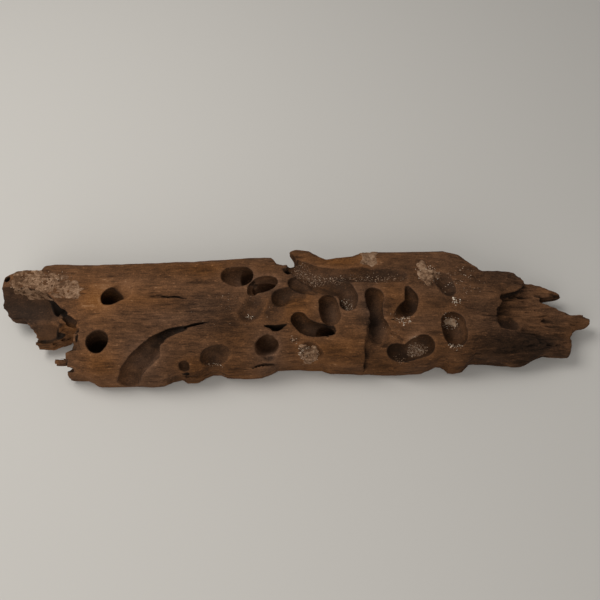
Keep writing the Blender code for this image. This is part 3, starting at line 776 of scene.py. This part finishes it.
# How shut in a place is gets measured this far out from the surface, with these shares. The wood
# is darkened by it: painted shade where the wood closes round a place.
OCCLUSION_SHADE_REACHES = ((2.5, 0.4), (6.0, 0.35), (13.0, 0.25))

# How far below the top a tunnel's wall counts as fully deep, and where that fades at the front:
# the painted shade that darkens deep walls towards pitch.
FULL_SHADE_DEPTH = 30
SHADE_DEPTH_FADE = (-52, -40)


def patch_values(x, y):
    """The paler and warmer shares at places: each patch adds its own, times a bell of its size."""
    paler = np.zeros(len(x), np.float32)
    warmer = np.zeros(len(x), np.float32)
    for px, py, half_x, half_y, pale, warm in PATCHES.values():
        bell = np.exp(-(((x - px) / half_x) ** 2 + ((y - py) / half_y) ** 2))
        paler += pale * bell
        warmer += warm * bell
    return paler, warmer


# A crust's skin: how far its inner side lies within the wood, how far its outer side does where
# there is no crust, and the first seed of its noise.
CRUST_INSIDE = 1.0
CRUST_BARE = 1.2
CRUST_SEED = 30

# The block of points round a crust: its margin in plan, how far it goes on below the crust's lowest
# place, and its top.
CRUST_MARGIN = 4
CRUST_BELOW = 3
CRUST_HIGHEST = 62

# Where pale crust lies on the wood: its edge seen from above, how thick it grows, how lacy it is
# (0 or less whole, 1 half open), the lowest place that it reaches, and how pale it is.
CRUSTS = {
    "crust_roll": {
        "corners": [
            (-283, 52), (-251, 43), (-247, 39), (-235, 38), (-224, 35), (-213, 28),
            (-203, 19), (-203, 8), (-209, 4), (-223, 7), (-233, 9), (-242, 12), (-251, 15),
            (-268, 18), (-280, 20), (-283, 30),
        ],
        "thick": 0.9, "lacy": 0.3, "lowest": 26, "pale": 0.45,
    },
    "crust_blob_upper": {
        "corners": [(120, 48), (127, 51), (133, 47), (133, 39), (123, 38)],
        "thick": 1.6, "lacy": 0.3, "lowest": 40, "pale": 0.47,
    },
    "crust_blob": {
        "corners": [
            (120, 39), (131, 41), (142, 38), (143, 31), (135, 26), (134, 19), (128, 19), (122, 29),
        ],
        "thick": 1.6, "lacy": 0.3, "lowest": 40, "pale": 0.47,
    },
    "crust_end_grain": {
        "corners": [(62, 68), (84, 68), (83, 45), (76, 41), (64, 44)],
        "thick": 0.9, "lacy": -0.4, "lowest": 34, "pale": 0.58,
    },
    "crust_bowl": {
        "corners": [
            (4, -41), (9, -38), (18, -38), (22.5, -42), (19, -48), (14, -50.5), (8, -48), (5, -44),
        ],
        "thick": 2.3, "lacy": 0.3, "lowest": 12, "pale": 0.46,
    },
    "crust_oval": {
        "corners": [
            (142, -14), (147, -9), (155, -8), (158, -13), (157, -18), (149, -16), (143, -18),
        ],
        "thick": 0.9, "lacy": 0.1, "lowest": 20, "pale": 0.77,
    },
    "crust_hole": {
        "corners": [(96, -8), (104, -9), (110, -10), (109, -20), (98, -19)],
        "thick": 0.6, "lacy": 0.8, "lowest": 20, "pale": 0.6,
    },
}

# Where mineral grains are stuck to the wood: (x, y, half length, half width, how many, how big, how
# white). Chance moves each a little, and makes it bigger or smaller and paler or darker.
GRAIN_SEED = 5
GRAIN_SHIFT = 0.35
GRAIN_SIZE_SPREAD = 0.35
GRAIN_TONE_SPREAD = 0.2
GRAINS = {
    "bowl": (13, -44.5, 9, 5.5, 260, 1.0, 0.42),
    "bowl_side": (-1, -36, 3, 3, 20, 0.8, 0.4),
    "kidney_right": (117, -37.5, 9, 6, 560, 0.65, 0.42),
    "kidney_left": (100, -45, 6, 5, 30, 0.6, 0.35),
    "oval_upper": (150, -12.5, 8, 5, 110, 0.7, 0.75),
    "oval_lower": (151, -38, 7, 3.5, 60, 0.8, 0.75),
    "hole_front": (104, -15.5, 7, 5, 70, 0.8, 0.75),
    "marks": (155, 5, 5, 4, 40, 0.8, 0.8),
    "arch_start": (6, 38, 9, 8, 260, 0.6, 0.3),
    "arch_middle": (19, 29, 10, 7, 280, 0.6, 0.3),
    "arch_bend": (38, 28.5, 13, 3.5, 110, 0.65, 0.4),
    "arch_end": (50, 0, 6, 9, 110, 0.75, 0.6),
    "groove": (76, 30, 32, 6, 200, 0.6, 0.4),
    "blobs": (131, 35, 11, 11, 120, 0.8, 0.6),
    "roll": (-252, 30, 36, 9, 170, 0.7, 0.5),
    "pale_hollow": (-43, -13, 4, 3, 16, 0.9, 0.85),
    "front_lip": (-76, -54, 7, 3, 30, 0.6, 0.6),
    "trench_side": (94, -18, 10, 12, 30, 0.6, 0.5),
    "right_back": (165, 26, 20, 18, 90, 0.6, 0.5),
    "middle": (-60, -4, 36, 20, 70, 0.5, 0.4),
}


def crust_distance(axes, crust, seed):
    """A skin on the wood. It reaches from CRUST_INSIDE within the wood's surface to a height above it
    that noise raises and pits; where that height is under the skin's inner side there is no crust."""
    x, y, z = opened(axes, (slice(None),) * 3)
    wood = wood_distance(axes)
    wandering = 3.0 * value_noise(x / 6, y / 5, z / 5, seed)
    lace = value_noise(x / 4.5, y / 2.6, z / 2.6, seed + 1)
    lace = lace + 0.7 * value_noise(x / 2, y / 1.5, z / 1.5, seed + 2)
    edge = plan_distance(crust["corners"], x, y) + wandering
    cover = smoothstep(-1.0, 3.0, edge) * smoothstep(0, 4, z - crust["lowest"])
    open_share = crust["lacy"] * (1.0 - 1.2 * lace)
    height = -CRUST_BARE + cover * (CRUST_BARE + crust["thick"] * (0.75 + 0.5 * lace))
    height = height - np.maximum(open_share, 0) * cover
    return np.maximum(wood - height, -(wood + CRUST_INSIDE))


def write_attribute(mesh, name, values):
    """A number for every point of a mesh, for its material to read."""
    layer = mesh.attributes.new(name, "FLOAT", "POINT")
    layer.data.foreach_set("value", np.ascontiguousarray(values, np.float32))


def read_block(field, axes, places):
    """The field at loose places: a straight blend between the eight points round each. Outside the
    block, its edge's value and the distance to it."""
    inside, whole, part = [], [], []
    for place, axis in zip(places.T, axes):
        held = np.clip(place, axis[0], axis[-1] - 1e-3)
        steps = (held - axis[0]) / (axis[1] - axis[0])
        inside.append(held)
        whole.append(np.minimum(steps.astype(np.int32), len(axis) - 2))
        part.append(steps - whole[-1])
    total = np.linalg.norm(places - np.array(inside).T, axis=1)
    for corner in np.ndindex(2, 2, 2):
        share = np.prod([t if up else 1 - t for t, up in zip(part, corner)], axis=0)
        total += share * field[tuple(i + up for i, up in zip(whole, corner))]
    return total


def occlusion_shade(obj, field, axes):
    """How shut in a place is, 0 to 1: how much nearer the wood is than it would be on open ground,
    at three distances out from the surface. The wood's material darkens by it, as painted shade."""
    normals = np.empty(len(obj.data.vertices) * 3, np.float32)
    obj.data.vertex_normals.foreach_get("vector", normals)
    normals = normals.reshape(-1, 3)
    places = places_of(obj.data)
    painted_occlusion = 0
    for out, share in OCCLUSION_SHADE_REACHES:
        painted_occlusion = painted_occlusion + share * (1 - read_block(field, axes, places + out * normals) / out)
    return np.clip(painted_occlusion, 0, 1)


def paint_wood(obj, field, axes):
    """Writes what the wood's material reads: how shut in a place is and how far wear has eaten in,
    both for painted shade, how much it is tunnel wall, near one, crack or rim, how deep it lies, for
    painted shade on deep walls and in cracks, and how pale and warm its patch and its tunnel's wall
    are."""
    x, y, z = places_of(obj.data).T
    # painted shade: how far the wood closes round each place, which the material darkens by
    write_attribute(obj.data, "occlusion_shade", occlusion_shade(obj, field, axes))
    away = nearest_of(TUNNELS, tunnel_distance, x, y, z)
    # painted shade: cracks and deep tunnel walls are mixed towards pitch in the material
    crack = nearest_of(CRACKS, crack_distance, x, y, z)
    deep = np.clip((top_height(x, y) - z) / FULL_SHADE_DEPTH, 0, 1) * smoothstep(*SHADE_DEPTH_FADE, y)
    paler, warmer = patch_values(x, y)
    # the walls' own tone, with painted light and painted shade inside tunnels
    for name, tone in WALL_TONES_LIGHT_AND_SHADE.items():
        wall = nearest_of({name: TUNNELS[name]}, tunnel_distance, x, y, z)
        paler += tone * (1 - smoothstep(0.2, 1.4, wall))
    paler += 0.1 * value_noise(x / 30, y / 12, z / 12, 11)
    warmer += 0.2 * value_noise(x / 30, y / 18, z / 18, 12)
    # painted shade: how far wear has eaten in, so that the sunken grain is darker
    write_attribute(obj.data, "groove_shade", relief(x, y, z))
    write_attribute(obj.data, "bore", 1 - smoothstep(0.6, 1.8, away))
    write_attribute(obj.data, "near", 1 - smoothstep(2.0, 11.0, away))
    write_attribute(obj.data, "crack", 1 - smoothstep(-0.1, 0.3, crack))
    write_attribute(obj.data, "deep", deep)
    write_attribute(obj.data, "rim", smoothstep(0.2, 1.2, away) * (1 - smoothstep(1.8, 4.5, away)))
    write_attribute(obj.data, "paler", paler)
    write_attribute(obj.data, "warmer", warmer)


def node(tree, kind, inputs, **settings):
    """Adds one shader node. Its inputs are given by name or number, as values or as sockets to link."""
    made = tree.nodes.new("ShaderNode" + kind)
    for name, value in settings.items():
        setattr(made, name, value)
    for name, value in inputs.items():
        if isinstance(value, bpy.types.NodeSocket):
            tree.links.new(value, made.inputs[name])
        else:
            made.inputs[name].default_value = value
    return made


def calc(tree, operation, *terms, clamp=False):
    """One sum on numbers or sockets."""
    made = node(tree, "Math", dict(enumerate(terms)), operation=operation, use_clamp=clamp)
    return made.outputs[0]


def about_half(tree, value, share, rest):
    """The rest, with a share of what a noise pattern is over or under a half."""
    return calc(tree, "MULTIPLY_ADD", calc(tree, "SUBTRACT", value, 0.5), share, rest)


def mixed(tree, share, one, other):
    """Two colours mixed by a share."""
    return node(tree, "Mix", {0: share, 6: one, 7: other}, data_type="RGBA").outputs[2]


def over(tree, value, low, high):
    """0 where a value is under low, 1 over high, straight between."""
    inputs = {"Value": value, "From Min": low, "From Max": high}
    return node(tree, "MapRange", inputs, clamp=True).outputs[0]


def pattern(tree, scale, detail=3.0, roughness=0.55, distortion=0.0):
    """Noise on the object's own place, stretched by a scale for each axis, in waves a metre."""
    place = node(tree, "TexCoord", {}).outputs["Object"]
    stretched = node(tree, "Mapping", {"Vector": place, "Scale": scale}).outputs["Vector"]
    inputs = {
        "Vector": stretched, "Scale": 1.0, "Detail": detail, "Roughness": roughness,
        "Distortion": distortion,
    }
    return node(tree, "TexNoise", inputs).outputs["Fac"]


def attribute(tree, name):
    """A number that the mesh carries."""
    return node(tree, "Attribute", {}, attribute_name=name).outputs["Fac"]


def ramp(tree, value, stops):
    """A colour ramp through (place, colour) stops."""
    made = node(tree, "ValToRGB", {"Fac": value})
    stops_now = made.color_ramp.elements
    while len(stops_now) < len(stops):
        stops_now.new(1.0)
    for stop, (place, colour) in zip(stops_now, stops):
        stop.position = place
        stop.color = (*colour, 1.0)
    return made.outputs["Color"]


def new_material(name, colour):
    """A material with nodes, and the colour that the viewport shows."""
    material = bpy.data.materials.new(name)
    material.use_nodes = True
    material.diffuse_color = (*colour, 1.0)
    return material, material.node_tree, material.node_tree.nodes["Principled BSDF"]


def weathered_wood(wood):
    """Dry dark wood: a ramp from near black to bare wood, driven by streaks along the grain and by
    the patches; tunnel walls are smoother, greyer and darker, rims are rubbed pale. Painted shade
    darkens shut-in places, sunken grain, deep tunnel walls and cracks."""
    material, tree, shader = new_material("weathered_wood", wood.brown)
    bore, deep, rim, crack = (attribute(tree, name) for name in ("bore", "deep", "rim", "crack"))
    painted_occlusion = over(tree, attribute(tree, "occlusion_shade"), 0.12, 0.75)
    paler, warmer = attribute(tree, "paler"), attribute(tree, "warmer")

    fibre = pattern(tree, (60, 700, 700), 4.0, 0.65, 0.2)
    streak = pattern(tree, (13, 130, 130), 3.0, 0.55, 0.4)
    mottle = pattern(tree, (75, 130, 130), 5.0, 0.65)
    grit = pattern(tree, (700, 900, 900), 2.0, 0.7)
    fleck = pattern(tree, (240, 620, 620), 1.0, 0.5)
    dash = pattern(tree, (75, 640, 640), 1.0, 0.5, 0.3)

    # the grain, weaker on tunnel walls and near them
    away = calc(tree, "SUBTRACT", 1.0, calc(tree, "MULTIPLY", attribute(tree, "near"), 0.4))
    along = calc(tree, "MULTIPLY_ADD", bore, -0.45, away)
    grainy = calc(tree, "MULTIPLY", calc(tree, "SUBTRACT", fibre, 0.5), 0.54)
    grainy = about_half(tree, streak, 0.16, grainy)
    grainy = calc(tree, "MULTIPLY_ADD", over(tree, dash, 0.63, 0.70), -0.16, grainy)
    grainy = calc(tree, "MULTIPLY", grainy, along)

    # the place on the ramp: each pattern and attribute adds its share
    value = about_half(tree, mottle, 0.55, grainy)
    value = about_half(tree, grit, 0.5, value)
    flecks, groove_shade = over(tree, fleck, 0.66, 0.74), attribute(tree, "groove_shade")
    # painted shade: shut-in places and sunken grain are pushed down the ramp
    for part, share in (
        (flecks, 0.2), (groove_shade, -0.1), (painted_occlusion, -0.45), (paler, 0.62), (rim, 0.07), (bore, -0.08),
    ):
        value = calc(tree, "MULTIPLY_ADD", part, share, value)
    value = calc(tree, "ADD", value, 0.5, clamp=True)

    colour = ramp(tree, value, [
        (0.0, wood.pitch), (0.3, wood.dark), (0.52, wood.brown), (0.72, wood.bare), (1.0, wood.pale),
    ])
    saturation = calc(tree, "MULTIPLY_ADD", warmer, 0.25, 1.0)
    colour = node(tree, "HueSaturation", {"Color": colour, "Saturation": saturation}).outputs["Color"]
    # painted shade: deep tunnel walls and cracks mixed towards pitch
    hollow_shade = calc(tree, "MULTIPLY", calc(tree, "SUBTRACT", deep, 0.3), 0.85, clamp=True)
    hollow_shade = calc(tree, "MAXIMUM", calc(tree, "MULTIPLY", hollow_shade, bore), crack)
    colour = mixed(tree, hollow_shade, colour, (*wood.pitch, 1.0))
    tree.links.new(colour, shader.inputs["Base Color"])

    dull = calc(tree, "MULTIPLY_ADD", bore, -0.16, 0.86)
    tree.links.new(dull, shader.inputs["Roughness"])
    shader.inputs["Specular IOR Level"].default_value = 0.1

    height = calc(tree, "ADD", fibre, calc(tree, "MULTIPLY", streak, 0.6))
    height = calc(tree, "MULTIPLY", height, along)
    height = calc(tree, "MULTIPLY_ADD", grit, 0.3, height)
    bump = node(tree, "Bump", {"Height": height, "Strength": 0.75, "Distance": 0.0011})
    tree.links.new(bump.outputs["Normal"], shader.inputs["Normal"])
    return material


def pale_crust(crust):
    """Tan, crumbly crust: brown in its pits and where it is thin, with specks of near white."""
    material, tree, shader = new_material("pale_crust", crust.tan)
    lumps = pattern(tree, (260, 330, 330), 3.0, 0.65)
    specks = pattern(tree, (900, 1100, 1100), 2.0, 0.6)
    broad = pattern(tree, (45, 60, 60), 3.0, 0.6)
    value = about_half(tree, lumps, 1.1, attribute(tree, "pale"))
    value = about_half(tree, specks, 0.6, value)
    broad = calc(tree, "SUBTRACT", broad, 0.5)
    value = calc(tree, "MULTIPLY_ADD", broad, 0.9, value, clamp=True)
    colour = ramp(tree, value, [
        (0.0, crust.pit), (0.35, crust.brown), (0.62, crust.tan), (1.0, crust.white),
    ])
    tree.links.new(colour, shader.inputs["Base Color"])
    shader.inputs["Roughness"].default_value = 0.95
    shader.inputs["Specular IOR Level"].default_value = 0.1
    height = calc(tree, "MULTIPLY_ADD", specks, 0.6, lumps)
    bump = node(tree, "Bump", {"Height": height, "Strength": 0.8, "Distance": 0.001})
    tree.links.new(bump.outputs["Normal"], shader.inputs["Normal"])
    return material


def mineral_grain(crust):
    """Grains from tan to near white, each in its own tone."""
    material, tree, shader = new_material("mineral_grain", crust.white)
    colour = ramp(tree, attribute(tree, "tone"), [
        (0.0, crust.brown), (0.4, crust.tan), (0.75, crust.white), (1.0, crust.bright),
    ])
    tree.links.new(colour, shader.inputs["Base Color"])
    shader.inputs["Roughness"].default_value = 0.8
    return material


def stones(places, sizes, rng):
    """A stone of twenty faces at every place: an icosahedron with its corners moved in and out and
    its three axes stretched by chance. Gives the corners and the faces of them all."""
    golden = (1 + 5 ** 0.5) / 2
    corners = np.array([
        (-1, golden, 0), (1, golden, 0), (-1, -golden, 0), (1, -golden, 0),
        (0, -1, golden), (0, 1, golden), (0, -1, -golden), (0, 1, -golden),
        (golden, 0, -1), (golden, 0, 1), (-golden, 0, -1), (-golden, 0, 1),
    ]) / np.hypot(1, golden)
    faces = np.array([
        (0, 11, 5), (0, 5, 1), (0, 1, 7), (0, 7, 10), (0, 10, 11), (1, 5, 9), (5, 11, 4),
        (11, 10, 2), (10, 7, 6), (7, 1, 8), (3, 9, 4), (3, 4, 2), (3, 2, 6), (3, 6, 8),
        (3, 8, 9), (4, 9, 5), (2, 4, 11), (6, 2, 10), (8, 6, 7), (9, 8, 1),
    ])
    count = len(places)
    turned = corners[None] * rng.uniform(0.7, 1.25, (count, 12, 1))
    turned = turned * rng.uniform((0.8, 0.7, 0.5), (1.6, 1.1, 0.9), (count, 3))[:, None]
    points = places[:, None] + turned * (sizes / 2)[:, None, None]
    each = faces[None] + (np.arange(count) * 12)[:, None, None]
    return points.reshape(-1, 3), each.reshape(-1, 3)


def upward_triangles(obj):
    """The middles and areas of a mesh's triangles that face up at all, in millimetres."""
    mesh = obj.data
    mesh.calc_loop_triangles()
    index = np.empty(len(mesh.loop_triangles) * 3, np.int32)
    mesh.loop_triangles.foreach_get("vertices", index)
    a, b, c = places_of(mesh)[index.reshape(-1, 3)].transpose(1, 0, 2)
    normal = np.cross(b - a, c - a)
    area = np.linalg.norm(normal, axis=1) / 2
    up = normal[:, 2] > 0.5 * area
    return ((a + b + c) / 3)[up], area[up]


class DragonWoodSettings(bpy.types.PropertyGroup):
    """The wood's resolution and colours."""

    cell: bpy.props.FloatProperty(
        name="Cell", description="Spacing of the points that the wood's surface is found on",
        default=0.0008, min=0.0006, max=0.004, unit="LENGTH",
    )
    triangles: bpy.props.IntProperty(
        name="Triangles", description="About how many triangles the wood keeps",
        default=195000, min=20000,
    )
    pitch: bpy.props.FloatVectorProperty(
        name="Pitch", description="Darkest hollows and cracks", subtype="COLOR",
        default=(0.010, 0.0055, 0.003),
    )
    dark: bpy.props.FloatVectorProperty(
        name="Dark", description="Stained wood", subtype="COLOR",
        default=(0.045, 0.0215, 0.0105),
    )
    brown: bpy.props.FloatVectorProperty(
        name="Brown", description="Most of the wood", subtype="COLOR",
        default=(0.112, 0.0515, 0.0235),
    )
    bare: bpy.props.FloatVectorProperty(
        name="Bare", description="Rubbed, reddish wood", subtype="COLOR",
        default=(0.20, 0.092, 0.041),
    )
    pale: bpy.props.FloatVectorProperty(
        name="Pale", description="Bleached fibres", subtype="COLOR",
        default=(0.33, 0.19, 0.105),
    )


class CrustSettings(bpy.types.PropertyGroup):
    """The crust's resolution, and the colours of crust and grains."""

    cell: bpy.props.FloatProperty(
        name="Crust cell", description="Spacing of the points that the crust's surface is found on",
        default=0.0007, min=0.0004, max=0.002, unit="LENGTH",
    )
    pit: bpy.props.FloatVectorProperty(
        name="Pit", description="Pits in the crust", subtype="COLOR",
        default=(0.045, 0.024, 0.013),
    )
    brown: bpy.props.FloatVectorProperty(
        name="Thin crust", description="Thin crust that wood shows through", subtype="COLOR",
        default=(0.115, 0.060, 0.032),
    )
    tan: bpy.props.FloatVectorProperty(
        name="Tan", description="Most of the crust", subtype="COLOR",
        default=(0.29, 0.175, 0.105),
    )
    white: bpy.props.FloatVectorProperty(
        name="White", description="The crust's specks", subtype="COLOR",
        default=(0.46, 0.34, 0.24),
    )
    bright: bpy.props.FloatVectorProperty(
        name="Bright", description="The whitest grains", subtype="COLOR",
        default=(0.72, 0.62, 0.50),
    )


class StageSettings(bpy.types.PropertyGroup):
    """The floor's colour and the lights' strengths."""

    floor_colour: bpy.props.FloatVectorProperty(
        name="Floor", description="The plain floor's colour", subtype="COLOR",
        default=(0.60, 0.58, 0.55),
    )
    sky: bpy.props.FloatProperty(
        name="Sky", description="Strength of the light from all round", default=0.29,
    )
    key: bpy.props.FloatProperty(
        name="Key", description="Power of the light above", default=8.5, unit="POWER",
    )
    fill: bpy.props.FloatProperty(
        name="Fill", description="Power of the front light", default=6.5, unit="POWER",
    )


class DRAGONWOOD_OT_wood(bpy.types.Operator):
    """Makes the bored slab and hides its plain solid"""

    bl_idname = "dragonwood.wood"
    bl_label = "Wood"

    def execute(self, context):
        settings = context.scene.dragon_wood
        low, high = (np.array(corner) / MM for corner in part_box("dragon_wood"))
        axes = axes_over(low - BLOCK_MARGIN, high + BLOCK_MARGIN, settings.cell / MM)
        field = wood_distance(axes)
        wood = mesh_from("bored_wood", *without_crumbs(*net_of(parted(field), axes), LEAST_WOOD))
        thinned(wood, settings.triangles)
        paint_wood(wood, field, axes)
        wood.data.materials.append(weathered_wood(settings))
        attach(wood, "root")
        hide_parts("dragon_wood")
        return {"FINISHED"}


class DRAGONWOOD_OT_crust(bpy.types.Operator):
    """Makes the pale crust on the rounded end, in the bowl and in patches along the top"""

    bl_idname = "dragonwood.crust"
    bl_label = "Crust"

    def execute(self, context):
        settings = context.scene.dragon_crust
        material = pale_crust(settings)
        for number, (name, crust) in enumerate(CRUSTS.items()):
            low = np.min(crust["corners"], axis=0) - CRUST_MARGIN
            high = np.max(crust["corners"], axis=0) + CRUST_MARGIN
            axes = axes_over(
                (*low, crust["lowest"] - CRUST_BELOW), (*high, CRUST_HIGHEST), settings.cell / MM
            )
            field = parted(crust_distance(axes, crust, CRUST_SEED + 3 * number))
            skin = mesh_from(name, *without_crumbs(*net_of(field, axes), LEAST_FLAKE))
            write_attribute(skin.data, "pale", np.full(len(skin.data.vertices), crust["pale"]))
            skin.data.materials.append(material)
            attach(skin, "root")
        return {"FINISHED"}


class DRAGONWOOD_OT_grains(bpy.types.Operator):
    """Sets small stones into the wood's hollows and over its crusts"""

    bl_idname = "dragonwood.grains"
    bl_label = "Mineral grains"

    def execute(self, context):
        middles, areas = upward_triangles(bpy.data.objects["bored_wood"])
        rng = np.random.default_rng(GRAIN_SEED)
        places, sizes, tones = [], [], []
        for x, y, half_x, half_y, count, size, white in GRAINS.values():
            out = np.hypot((middles[:, 0] - x) / half_x, (middles[:, 1] - y) / half_y)
            chance = areas * np.clip(1.4 - out, 0, 1) * (out < 1.15)
            picked = rng.choice(len(middles), count, p=chance / chance.sum())
            shift = rng.normal(0, GRAIN_SHIFT, (count, 3)) * (1, 1, 0.3)
            places.append(middles[picked] + shift)
            sizes.append(size * rng.lognormal(0, GRAIN_SIZE_SPREAD, count))
            tones.append(np.clip(rng.normal(white, GRAIN_TONE_SPREAD, count), 0, 1))
        points, faces = stones(np.concatenate(places), np.concatenate(sizes), rng)
        grains = mesh_from("mineral_grains", points, faces)
        write_attribute(grains.data, "tone", np.repeat(np.concatenate(tones), 12))
        grains.data.materials.append(mineral_grain(context.scene.dragon_crust))
        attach(grains, "root")
        return {"FINISHED"}


# The stage, in metres. The floor lies just under the wood, so that the two never share a plane. The
# camera stands at the photograph's angle, turned up from straight down, and sees twice HALF_VIEW.
FLOOR_HALF = 3.0
FLOOR_DROP = 0.0003
CAMERA_PLACE = (0.005, -0.3042, 0.5872)
CAMERA_TILT = 30.0
HALF_VIEW = 25.0
SKY_COLOUR = (1.0, 0.985, 0.96, 1.0)
ABOVE = {"place": (-0.65, 0.3, 1.1), "size": 0.65, "colour": (1.0, 0.985, 0.95)}
FRONT = {"place": (-0.45, -1.1, 0.8), "size": 1.0, "colour": (1.0, 0.98, 0.94)}


def area_light(name, power, place, size, colour):
    """A square soft light that faces the slab."""
    data = bpy.data.lights.new(name, "AREA")
    data.energy = power
    data.size = size
    data.color = colour
    light = bpy.data.objects.new(name, data)
    light.location = place
    light.rotation_euler = (-light.location).to_track_quat("-Z", "Y").to_euler()
    bpy.context.scene.collection.objects.link(light)


class DRAGONWOOD_OT_stage(bpy.types.Operator):
    """Makes the plain floor, the soft lights and the camera at the photograph's angle"""

    bl_idname = "dragonwood.stage"
    bl_label = "Stage"

    def execute(self, context):
        stage = context.scene.dragon_stage
        around = np.array([(-1, -1), (1, -1), (1, 1), (-1, 1)]) * FLOOR_HALF
        corners = np.column_stack([around, np.full(4, -FLOOR_DROP)]) / MM
        floor = mesh_from("floor", corners, np.array([[0, 1, 2, 3]]))
        material, _, shader = new_material("plain_floor", stage.floor_colour)
        shader.inputs["Base Color"].default_value = (*stage.floor_colour, 1.0)
        shader.inputs["Roughness"].default_value = 0.9
        shader.inputs["Specular IOR Level"].default_value = 0.1
        floor.data.materials.append(material)

        world = bpy.data.worlds.new("soft_room")
        world.use_nodes = True
        background = world.node_tree.nodes["Background"]
        background.inputs["Color"].default_value = SKY_COLOUR
        background.inputs["Strength"].default_value = stage.sky
        context.scene.world = world
        area_light("above", stage.key, **ABOVE)
        area_light("front", stage.fill, **FRONT)

        data = bpy.data.cameras.new("photo_angle")
        data.sensor_width = 36.0
        data.lens = data.sensor_width / 2 / tan(radians(HALF_VIEW))
        camera = bpy.data.objects.new("photo_angle", data)
        camera.location = CAMERA_PLACE
        camera.rotation_euler = (radians(CAMERA_TILT), 0.0, 0.0)
        context.scene.collection.objects.link(camera)
        context.scene.camera = camera
        context.scene.view_settings.view_transform = "Standard"
        return {"FINISHED"}


class DRAGONWOOD_PT_panel(bpy.types.Panel):
    """Lists the pieces and the stage"""

    bl_label = "Dragon wood"
    bl_idname = "DRAGONWOOD_PT_panel"
    bl_space_type = "VIEW_3D"
    bl_region_type = "UI"
    bl_category = "Dragon wood"

    def draw(self, context):
        scene = context.scene
        for settings in (scene.dragon_wood, scene.dragon_crust, scene.dragon_stage):
            for name in settings.bl_rna.properties.keys():
                if name not in ("name", "rna_type"):
                    self.layout.prop(settings, name)
        for step in STEPS:
            self.layout.operator(step.bl_idname)


STEPS = (DRAGONWOOD_OT_wood, DRAGONWOOD_OT_crust, DRAGONWOOD_OT_grains, DRAGONWOOD_OT_stage)
CLASSES = (DragonWoodSettings, CrustSettings, StageSettings, *STEPS, DRAGONWOOD_PT_panel)


def register():
    """Adds the classes, and the settings to every scene."""
    for cls in CLASSES:
        bpy.utils.register_class(cls)
    bpy.types.Scene.dragon_wood = bpy.props.PointerProperty(type=DragonWoodSettings)
    bpy.types.Scene.dragon_crust = bpy.props.PointerProperty(type=CrustSettings)
    bpy.types.Scene.dragon_stage = bpy.props.PointerProperty(type=StageSettings)


def unregister():
    """Takes the settings and the classes away again."""
    del bpy.types.Scene.dragon_stage
    del bpy.types.Scene.dragon_crust
    del bpy.types.Scene.dragon_wood
    for cls in reversed(CLASSES):
        bpy.utils.unregister_class(cls)


def main():
    """Makes every piece and the stage."""
    register()
    bpy.ops.dragonwood.wood()
    bpy.ops.dragonwood.crust()
    bpy.ops.dragonwood.grains()
    bpy.ops.dragonwood.stage()


if __name__ == "__main__":
    main()
